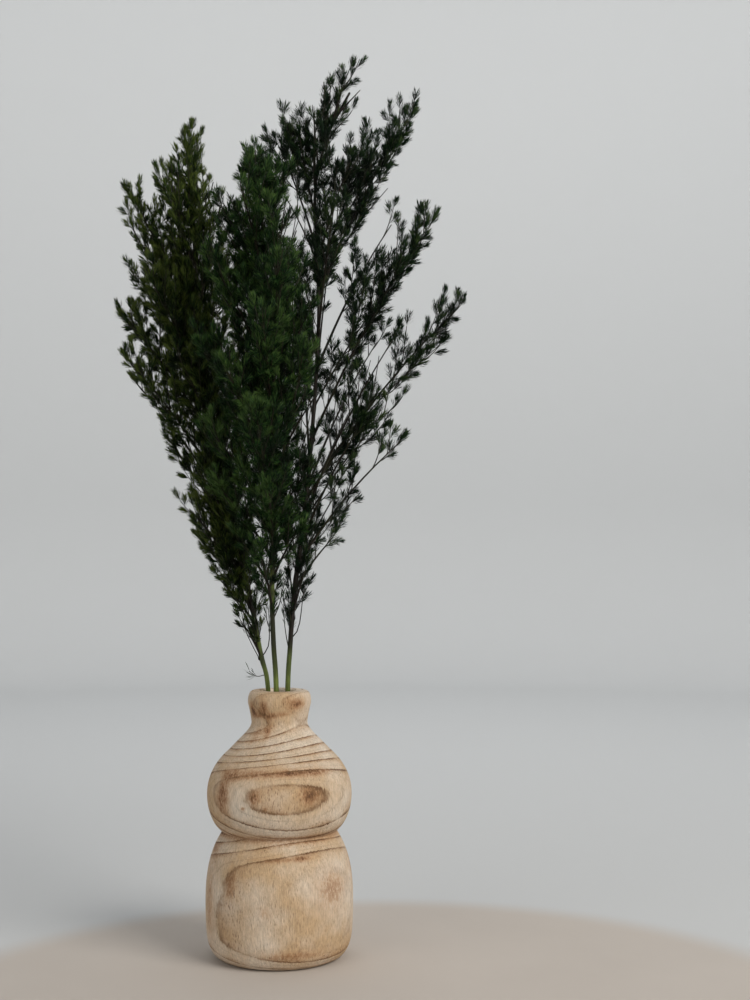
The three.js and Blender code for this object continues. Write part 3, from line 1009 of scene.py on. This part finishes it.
def add_brushes(fern, needles, woody, bases, headings, cores, shade):
    """Brushes of needles: bases (n, 3), the headings and lengths of their cores, and their tones,
    partly painted light and shade.
    """
    chance = fern["chance"]
    grown = chance.random(len(bases)) >= missing_share(bases + headings * cores[:, None])
    bases, headings, cores, shade = bases[grown], headings[grown], cores[grown], shade[grown]
    cores = cores * fern["plump"]
    ends = bases + headings * cores[:, None]
    inside = in_box(fern, ends, BRUSH_MARGIN)
    bases, headings, cores, shade = bases[inside], headings[inside], cores[inside], shade[inside]
    ends = ends[inside]
    count = len(bases)
    middles = (bases + ends) / 2
    radii = np.full(count, CORE_RADIUS)
    brown = np.full((count, 5), CORE_BROWN)
    add_spindles(woody, bases, middles, ends + headings, radii, brown=brown)
    owner = np.repeat(np.arange(count), int(NEEDLES_IN_BRUSH * fern["plump"]))
    total = len(owner)
    first, second = across(headings)
    turn = chance.uniform(0, 2 * np.pi, total)[:, None]
    outward = first[owner] * np.cos(turn) + second[owner] * np.sin(turn)
    share = chance.uniform(0, 1, total) ** 0.85
    open_brush = fern["open"] * chance.uniform(0.75, 1.25, count)
    lean = np.interp(share, [0, 1], NEEDLE_LEAN) * open_brush[owner]
    lean = (lean * chance.uniform(0.45, 1.15, total))[:, None]
    length = np.interp(share, [0, 1], NEEDLE_LENGTHS) * chance.uniform(0.82, 1.1, total)
    aim = headings[owner] * np.cos(lean) + outward * np.sin(lean)
    roots = bases[owner] + headings[owner] * (share * cores[owner])[:, None]
    tips = roots + aim * length[:, None]
    kept = in_box(fern, tips, NEEDLE_MARGIN)
    # Painted light and shade over a random tone: needles further along the brush are lighter, and
    # each needle is darker at its base inside the brush and lighter at its tip.
    tone = shade[owner] + chance.normal(0, 0.15, total) + 0.08 * share
    tones = np.clip(np.stack([tone - 0.2, tone, tone, tone + 0.16], axis=1), 0, 1)[kept]
    widths = NEEDLE_HALF_WIDTH * chance.uniform(0.8, 1.2, kept.sum())
    add_blades(needles, roots[kept], tips[kept], outward[kept], widths, tone=tones)


print("needles in a brush of each fern:", [int(NEEDLES_IN_BRUSH * f["plump"]) for f in FERNS])

# %% [markdown]
# A twig is a hair-thin tube that curves upwards. Its brushes stand on alternate sides, with one
# more on its end.

# %% Twigs
TWIG_STEPS = 5
TWIG_RADII = np.linspace(0.5, 0.3, TWIG_STEPS)
TWIG_MARGIN = 3
FIRST_BRUSH = 0.2
BRUSH_SPACING = 7.2
BRUSH_LEAN = (0.4, 0.85)
CORE_LENGTHS = (6, 10.5)


def add_twig(fern, needles, woody, start, heading, length, lift, shade):
    chance = fern["chance"]
    shares = np.linspace(0, 1, TWIG_STEPS)[:, None]
    rise = np.array([0, 0, lift * length]) * shares**2
    drift = chance.normal(0, 0.05, 3) * length * shares**2
    line = Line(start + heading * length * shares + rise + drift)
    low, high = fern["box"]
    if np.any(line.samples < low + TWIG_MARGIN) or np.any(line.samples > high - TWIG_MARGIN):
        return
    if chance.random() < missing_share(line.samples)[2:].max():
        return
    add_tube(woody, line.samples, TWIG_RADII, 4, brown=0.45 + 0.1 * shade)
    distances = np.arange(max(FIRST_BRUSH * length, 4), line.length - 2.5, BRUSH_SPACING)
    distances = distances + chance.uniform(-1.2, 1.2, len(distances))
    distances = np.append(distances, line.length - 1)
    count = len(distances)
    along = line.heading(distances)
    one, two = across(along)
    turn = np.pi * np.arange(count) + chance.uniform(0, 7) + chance.normal(0, 0.5, count)
    lean = chance.uniform(*BRUSH_LEAN, count)
    lean[-1] = 0.1
    outward = one * np.cos(turn)[:, None] + two * np.sin(turn)[:, None]
    headings = along * np.cos(lean)[:, None] + outward * np.sin(lean)[:, None]
    headings = unit(headings + [0, 0, 0.15])
    cores = chance.uniform(*CORE_LENGTHS, count) * np.interp(length, [10, 30], [0.75, 1])
    tone = shade + chance.normal(0, 0.1, count)
    add_brushes(fern, needles, woody, line.at(distances), headings, cores, tone)


print("brushes on a twig of 30 mm:", len(np.arange(6, 27.5, BRUSH_SPACING)) + 1)

# %% [markdown]
# Twigs stand all round a branch. Plants turn each new shoot by the golden angle from the one
# below, so that none shades the next, and these do as well.

# %% Twigs round a line
GOLDEN_ANGLE = math.radians(137.508)
TWIG_OPENNESS = (0.75, 0.45)
TWIG_LIFT = 0.45


def add_twigs(fern, needles, woody, line, nodes, sizes):
    """Twigs all round a line, one at each distance along it, with their lengths."""
    chance = fern["chance"]
    turn = chance.uniform(0, 7)
    for index, (distance, size) in enumerate(zip(nodes, sizes)):
        share = distance / line.length
        along = line.heading(distance)
        one, two = across(along)
        azimuth = turn + GOLDEN_ANGLE * index
        outward = one * math.cos(azimuth) + two * math.sin(azimuth)
        openness = np.interp(share, [0, 1], TWIG_OPENNESS) * chance.uniform(0.8, 1.15)
        heading = along * math.cos(openness) + outward * math.sin(openness)
        heading = unit(heading + [0, 0, 0.12])
        size = size * chance.uniform(0.7, 1.1)
        # Painted light and shade over the fern's olive and a random tone: twigs further out along
        # the line are lighter, those near its start darker.
        shade = fern["olive"] + 0.2 * share + chance.normal(0, 0.1)
        add_twig(fern, needles, woody, line.at(distance), heading, size, TWIG_LIFT, shade)


print("a twig leaves its branch at", np.degrees(TWIG_OPENNESS).round(), "degrees, first and last")

# %% [markdown]
# A branch leaves the stem, arches upwards and ends in a spray. Its route stops short of the given
# place, because the last needles reach that far beyond it. Low in the fern the twigs are shorter.

# %% Branches
BRANCH_ARCH = 0.1
BRANCH_BEND = 0.45
END_SPRAY = 28
BRANCH_END = 12
BRANCH_RADII = ((0, 4), (1.5, 1.2), 0.45)
RING_SPACING = 5
LOW_TWIGS = ((250, 400), (0.7, 1))


def add_branch(fern, needles, woody, start, reach, thickness):
    chance = fern["chance"]
    span = np.linalg.norm(reach - start)
    towards = (reach - start) / span
    end = start + towards * (span - END_SPRAY)
    bend = start + (end - start) * BRANCH_BEND
    bend[2] += BRANCH_ARCH * (span - END_SPRAY)
    curve = bezier([start, bend, end], np.linspace(0, 1, 24))
    last = unit(end - bend)
    beyond = end + last * (END_SPRAY - BRANCH_END) * np.array([[0.5], [1.0]])
    line = Line(np.concatenate([curve, beyond]))
    distances = np.linspace(0, line.length, max(8, int(line.length / RING_SPACING)))
    places, radii, tip = BRANCH_RADII
    radii = np.interp(distances, [*places, line.length], [*radii, tip]) * thickness
    brown = 0.45 + 0.2 * chance.random() + 0.1 * np.sin(distances / 9)
    add_tube(woody, line.at(distances), radii, 6, brown=brown)
    nodes = np.arange(fern["first_twig"], line.length - 5, fern["twig_spacing"])
    lengths = fern["twig_lengths"]
    sizes = np.interp(nodes / line.length, np.linspace(0, 1, len(lengths)), lengths)
    sizes = sizes * np.interp(line.at(nodes)[:, 2], *LOW_TWIGS)
    add_twigs(fern, needles, woody, line, nodes, sizes)
    # The twig on the branch's end is lighter still: painted light on the outside of the fern.
    crown = fern["olive"] + 0.25
    add_twig(fern, needles, woody, line.at(line.length - 2), last, 6, 0.1, crown)


print("a branch stops", END_SPRAY - BRANCH_END, "mm beyond its curve and", BRANCH_END, "mm short")

# %% [markdown]
# Where a branch leaves the stem sits a papery scale leaf. Low on the stems hang a few wisps: bare
# threads with loose needles towards their ends, easy to miss and quick to give the ferns away as
# made if they weren't there.


# %% Scale leaves and wisps
LEAF_MIDDLE = (2, 0.8)
LEAF_TIP = (5.5, 1)
LEAF_RADIUS = 0.6
LEAF_BROWN = np.array([[0.5, 0.8, 0.8, 0.8, 1.0]])
WISP_RINGS = 9
WISP_RADII = np.linspace(0.5, 0.25, WISP_RINGS)
WISP_BROWN = 0.55
WISP_TONE = 0.35
WISP_NEEDLE_LENGTHS = (7, 10)
WISP_NEEDLE_HALF_WIDTH = 0.3
BARE_WISP_SHARE = 0.45


def add_scale_leaf(woody, seat, axis, outward):
    """A papery scale leaf: how far its middle and tip lie along the stem and out from it."""
    middle, tip = [seat + axis * up + outward * out for up, out in (LEAF_MIDDLE, LEAF_TIP)]
    radius = np.array([LEAF_RADIUS])
    add_spindles(woody, seat[None], middle[None], tip[None], radius, brown=LEAF_BROWN)


def add_wisp(fern, needles, woody, places):
    chance = fern["chance"]
    line = Line(through(places))
    distances = np.linspace(0, line.length, WISP_RINGS)
    add_tube(woody, line.at(distances), WISP_RADII, 4, brown=WISP_BROWN)
    count = 8 + int(line.length / 3)
    distances = line.length * chance.uniform(BARE_WISP_SHARE, 1, count)
    along = line.heading(distances)
    first, second = across(along)
    turn = chance.uniform(0, 2 * np.pi, count)[:, None]
    lean = chance.uniform(0.3, 1.0, count)[:, None]
    outward = first * np.cos(turn) + second * np.sin(turn)
    aim = unit(along * np.cos(lean) + outward * np.sin(lean) + [0, 0, 0.2])
    tips = line.at(distances) + aim * chance.uniform(*WISP_NEEDLE_LENGTHS, count)[:, None]
    widths = np.full(count, WISP_NEEDLE_HALF_WIDTH)
    tones = np.full((count, 4), WISP_TONE)
    add_blades(needles, line.at(distances), tips, outward, widths, tone=tones)
    add_scale_leaf(woody, line.samples[0], np.array([0.0, 0, 1]), line.heading(1))


print("wisps:", [len(fern["wisps"]) for fern in FERNS])

# %% [markdown]
# The main stem tapers to 1 mm, swells a little at each node, and turns browner there.

# %% Main stems
STEM_TIP = 1.0
STEM_SIDES = 10
NODE_HALF_HEIGHT = 3.5
NODE_SWELLING = 0.35
NODE_BROWN = 0.2


def add_stem(fern, woody, stem):
    distances = np.linspace(0, stem.length, int(stem.length / RING_SPACING))
    radii = np.interp(distances, [0, stem.length], [fern["radius"], STEM_TIP])
    heights = stem.at(distances)[:, 2]
    brown = 0.06 * np.sin(heights / 7 + fern["seed"]) + np.interp(heights, *zip(*fern["brown"]))
    for branch in fern["branches"]:
        swelling = np.exp(-(((heights - branch[3]) / NODE_HALF_HEIGHT) ** 2))
        radii = radii + NODE_SWELLING * swelling
        brown = brown + NODE_BROWN * swelling
    add_tube(woody, stem.at(distances), radii, STEM_SIDES, brown=np.clip(brown, 0, 1))


def add_stem_twigs(fern, needles, woody, stem):
    top = stem.at(stem.length)
    last = stem.heading(stem.length)
    spray = Line(np.concatenate([stem.samples, [top + last * (END_SPRAY - BRANCH_END)]]))
    heights, lengths = zip(*fern["stem_twigs"])
    lowest = np.interp(heights[0], stem.samples[:, 2], stem.walked)
    nodes = np.arange(lowest, spray.length - 2, fern["twig_spacing"])
    sizes = np.interp(spray.at(nodes)[:, 2], heights, lengths)
    add_twigs(fern, needles, woody, spray, nodes, sizes)


print("nodes on the stems:", [len(fern["branches"]) for fern in FERNS])

# %% [markdown]
# Last, a whole fern: its stem, its branches with their scale leaves, its wisps, its side branches,
# and the twigs on the stem itself. Its box is its own CAD box with 10 mm to spare, cut to the box
# of the whole model. Random draws start from the fern's own seed, so every run grows the same one.

# %% Grow the ferns
BOX_SLACK = 10
LEAF_DROP = 1.5
SIDE_BRANCH_THICKNESS = 0.7


def grow_fern(fern):
    fern["chance"] = np.random.default_rng(fern["seed"])
    near = np.array(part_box(fern["name"])) / MM + [[-BOX_SLACK], [BOX_SLACK]]
    whole = np.array(cad_box) / MM
    fern["box"] = np.maximum(near[0], whole[0]), np.minimum(near[1], whole[1])
    stem = Line(through(fern["stem"]))
    woody = Growth("brown")
    needles = Growth("tone")
    add_stem(fern, woody, stem)
    for *reach, leaving in fern["branches"]:
        distance = np.interp(leaving, stem.samples[:, 2], stem.walked)
        start = stem.at(distance)
        add_branch(fern, needles, woody, start, np.array(reach, dtype=float), 1)
        axis = stem.heading(distance)
        outward = unit((np.array(reach) - start) * [1, 1, 0])
        seat = start - axis * LEAF_DROP + outward * fern["radius"] * 0.8
        add_scale_leaf(woody, seat, axis, outward)
    for places in fern["wisps"]:
        add_wisp(fern, needles, woody, places)
    for *reach, leaving in fern["side_branches"]:
        start = stem.at(np.interp(leaving, stem.samples[:, 2], stem.walked))
        reach = np.array(reach, dtype=float)
        add_branch(fern, needles, woody, start, reach, SIDE_BRANCH_THICKNESS)
    add_stem_twigs(fern, needles, woody, stem)
    for growth in (woody, needles):
        growth.points = [part * MM for part in growth.points]
    return woody, needles


grown = {fern["name"]: grow_fern(fern) for fern in FERNS}
for name, (woody, needles) in grown.items():
    print(name, "woody", woody.triangles(), "needles", needles.triangles())

# %% [markdown]
# ## Stems
#
# The bare stems above the mouth are smooth and olive green, with brown tinges and swollen nodes.
# Higher up and out along the branches they turn darker and browner. The colour number `brown`
# says how far each point has gone that way, and long thin streaks break it up: 0.7 mm wide and
# 11 mm long. Skin that has taken up glycerine has a soft sheen, with IOR 1.45 and roughness near
# 0.5.

# %% Stem material
STEM_COLOURS = [(0.3, "#6a7839"), (0.5, "#4a5528"), (0.72, "#282b16"), (1.0, "#1c160e")]


def make_stem_green():
    material, tree, shader = new_material("preserved fern stem")
    place = add_node(tree, "TexCoord", "Object")
    drawn = add_node(tree, "Mapping", "Vector", {"Vector": place, "Scale": (1500, 1500, 90)})
    streaks = add_node(tree, "TexNoise", "Fac", {"Vector": drawn, "Scale": 1, "Detail": 3})
    blotches = add_node(tree, "TexNoise", "Fac", {"Vector": place, "Scale": 60, "Detail": 3})
    brown = add_node(tree, "Attribute", "Fac", attribute_name="brown")
    for noise, weight in ((streaks, 0.35), (blotches, 0.4)):
        brown = add_node(tree, "Math", "Value", [noise, weight, brown], operation="MULTIPLY_ADD")
    bump = {"Height": streaks, "Strength": 0.4, "Distance": 0.2 * MM}
    finish = {
        "Base Color": add_node(tree, "ValToRGB", "Color", [brown], STEM_COLOURS),
        "Roughness": add_node(tree, "ValToRGB", "Color", [streaks], [(0.3, 0.42), (0.7, 0.6)]),
        "IOR": 1.45,
        "Specular IOR Level": 0.3,
        "Normal": add_node(tree, "Bump", "Normal", bump),
    }
    fill_inputs(tree, shader, finish)
    return material


stem_green = make_stem_green()
print("stem nodes:", len(stem_green.node_tree.nodes))

# %% [markdown]
# ## Foliage
#
# Preserved foliage has been soaked in glycerine and dye. It is a deep, slightly blue green that
# turns olive in places, and it keeps a soft waxy shine: IOR 1.45 and roughness near 0.5, with a
# low specular level because thin needles show little of it. A colour number on the needles goes
# from the darkest needles to the olive ones. Part of it is the needles' own tone, and part is
# painted light and shade: darker at each needle's base and towards the inside of the fern, lighter
# towards each needle's tip and the ends of the branches. Patches a few centimetres across and a
# mottle of about a millimetre vary it.

# %% Foliage material
TINT_PLACES = (0.25, 0.5, 0.72, 0.98)


def make_foliage(dye, tint):
    material, tree, shader = new_material("preserved ming fern needles, " + dye)
    place = add_node(tree, "TexCoord", "Object")
    tufts = add_node(tree, "TexNoise", "Fac", {"Vector": place, "Scale": 26, "Detail": 4})
    mottle = add_node(tree, "TexNoise", "Fac", {"Vector": place, "Scale": 900, "Detail": 2})
    tone = add_node(tree, "Attribute", "Fac", attribute_name="tone")
    for noise, weight in ((tufts, 0.5), (mottle, 0.15)):
        tone = add_node(tree, "Math", "Value", [noise, weight, tone], operation="MULTIPLY_ADD")
    finish = {
        "Base Color": add_node(tree, "ValToRGB", "Color", [tone], list(zip(TINT_PLACES, tint))),
        "Roughness": add_node(tree, "ValToRGB", "Color", [mottle], [(0.3, 0.42), (0.7, 0.58)]),
        "IOR": 1.45,
        "Specular IOR Level": 0.15,
    }
    fill_inputs(tree, shader, finish)
    return material


foliage = {fern["name"]: make_foliage(fern["dye"], fern["tint"]) for fern in FERNS}
print("foliage materials:", [material.name for material in foliage.values()])

# %% [markdown]
# Each fern becomes three pieces that replace its CAD node together: everything woody, and the
# needles in two halves, which keeps each mesh to a handy size.

# %% Dress the ferns
NEEDLE_PIECES = 2

for name, (woody, needles) in grown.items():
    pieces = [woody.make(name + "_wood", smooth=True)]
    for share, part in enumerate(needles.split(NEEDLE_PIECES), 1):
        pieces.append(part.make(f"{name}_needles_{share}", smooth=False))
    for piece in pieces:
        piece.data.materials.append(stem_green if piece is pieces[0] else foliage[name])
        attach(piece, "root")
        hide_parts(name)

# %% [markdown]
# ## Floor, backdrop and light
#
# The object stands on a plain pale surface against a plain pale wall. One round dish makes both,
# so the object has the same plain surroundings from every side: it is flat under the vase, bends
# up far outside, and goes from a warm beige near the vase to a cool light grey.

# %% Floor and backdrop
DISH_MIDDLE = 100
DISH_FLAT = 2100
DISH_RING = 400
DISH_BEND = 400
DISH_TOP = 2800
DISH_STEPS = 96


def turn_dish():
    turn = np.linspace(0, np.pi / 2, 14)
    bend = [(DISH_FLAT + DISH_BEND * math.sin(a), DISH_BEND * (1 - math.cos(a))) for a in turn]
    flat = [(radius, 0) for radius in range(DISH_MIDDLE, DISH_FLAT, DISH_RING)]
    profile = np.array([*flat, *bend, (DISH_FLAT + DISH_BEND, DISH_TOP)])
    turns = np.linspace(0, 2 * np.pi, DISH_STEPS, endpoint=False)
    radii, angles = np.meshgrid(profile[:, 0], turns, indexing="ij")
    heights = np.repeat(profile[:, 1:], DISH_STEPS, axis=1)
    points = np.stack([radii * np.cos(angles), radii * np.sin(angles), heights], axis=-1)
    grid, _, quads = turned_grid(len(profile), DISH_STEPS)
    growth = Growth()
    growth.add(points * MM, [grid[:1], quads[:, ::-1]])
    return growth.make("backdrop", smooth=True)


backdrop = turn_dish()

# %% [markdown]
# The dish is matt paint: roughness 0.9, with a faint unevenness in the beige. The beige disc isn't
# centred on the vase but a little in front of it, and its edge is soft.

# %% Backdrop material
BEIGE_MIDDLE = (75, -166, 0)
BEIGE_EDGE = (320, 370)


def make_backdrop_paint():
    material, tree, shader = new_material("matt painted backdrop")
    place = add_node(tree, "TexCoord", "Object")
    shift = [place, [-value * MM for value in BEIGE_MIDDLE]]
    centred = add_node(tree, "VectorMath", "Vector", shift, operation="ADD")
    distance = add_node(tree, "VectorMath", "Value", [centred], operation="LENGTH")
    inner, outer = BEIGE_EDGE
    edge = {"Value": distance, "From Min": inner * MM, "From Max": outer * MM}
    far = add_node(tree, "MapRange", "Result", edge, interpolation_type="SMOOTHSTEP")
    grain = add_node(tree, "TexNoise", "Fac", {"Vector": place, "Scale": 9, "Detail": 6})
    beige = add_node(tree, "MixRGB", "Color", [grain, "#bdb5ad", "#c6beb6"])
    colour = add_node(tree, "MixRGB", "Color", [far, beige, "#c9cbcc"])
    fill_inputs(tree, shader, {"Base Color": colour, "Roughness": 0.9})
    return material


backdrop.data.materials.append(make_backdrop_paint())
print("backdrop nodes:", len(backdrop.data.materials[0].node_tree.nodes))

# %% [markdown]
# The light in the photograph is soft daylight, a little stronger from the right and in front. A
# large area light does that, a weaker one fills from the left, and a third lights the wall behind.
# None of the lights shows itself, so no side view has one in it.

# %% Light
# Name, place and aim in metres, width and height in metres, power in watts, and colour.
LIGHTS = [
    ("window", (1.7, -1.5, 1.5), (0, 0.2, 0.35), (1.4, 1.8), 63, "#fffaf3"),
    ("fill", (-1.5, -1.6, 1.0), (0, 0, 0.3), (1.5, 1.5), 8, "#fbf6ee"),
    ("wall", (0.1, 0.9, 1.9), (0.1, 2.5, 0.5), (2.0, 0.6), 16, "#ffffff"),
]

for name, place, aim, size, power, colour in LIGHTS:
    data = bpy.data.lights.new(name, "AREA")
    data.shape = "RECTANGLE"
    data.size, data.size_y = size
    data.energy = power
    data.color = linear(colour)[:3]
    light = bpy.data.objects.new(name, data)
    light.location = place
    light.visible_camera = False
    x, y, z = np.array(aim) - np.array(place)
    light.rotation_euler = (math.atan2(math.hypot(x, y), -z), 0, math.atan2(y, x) - math.pi / 2)
    bpy.context.collection.objects.link(light)
    print(name, "light:", power, "W")

# %% [markdown]
# A pale sky lights the rest. The Standard view shows colours as they were picked, without the
# softer contrast of Blender's default.

# %% Sky and view
SKY_COLOUR = "#e9ecf0"
SKY_STRENGTH = 0.36

world = bpy.data.worlds.new("pale room")
world.use_nodes = True
background = world.node_tree.nodes["Background"]
fill_inputs(world.node_tree, background, {"Color": SKY_COLOUR, "Strength": SKY_STRENGTH})
bpy.context.scene.world = world
bpy.context.scene.view_settings.view_transform = "Standard"
print("sky", SKY_COLOUR, "at", SKY_STRENGTH)
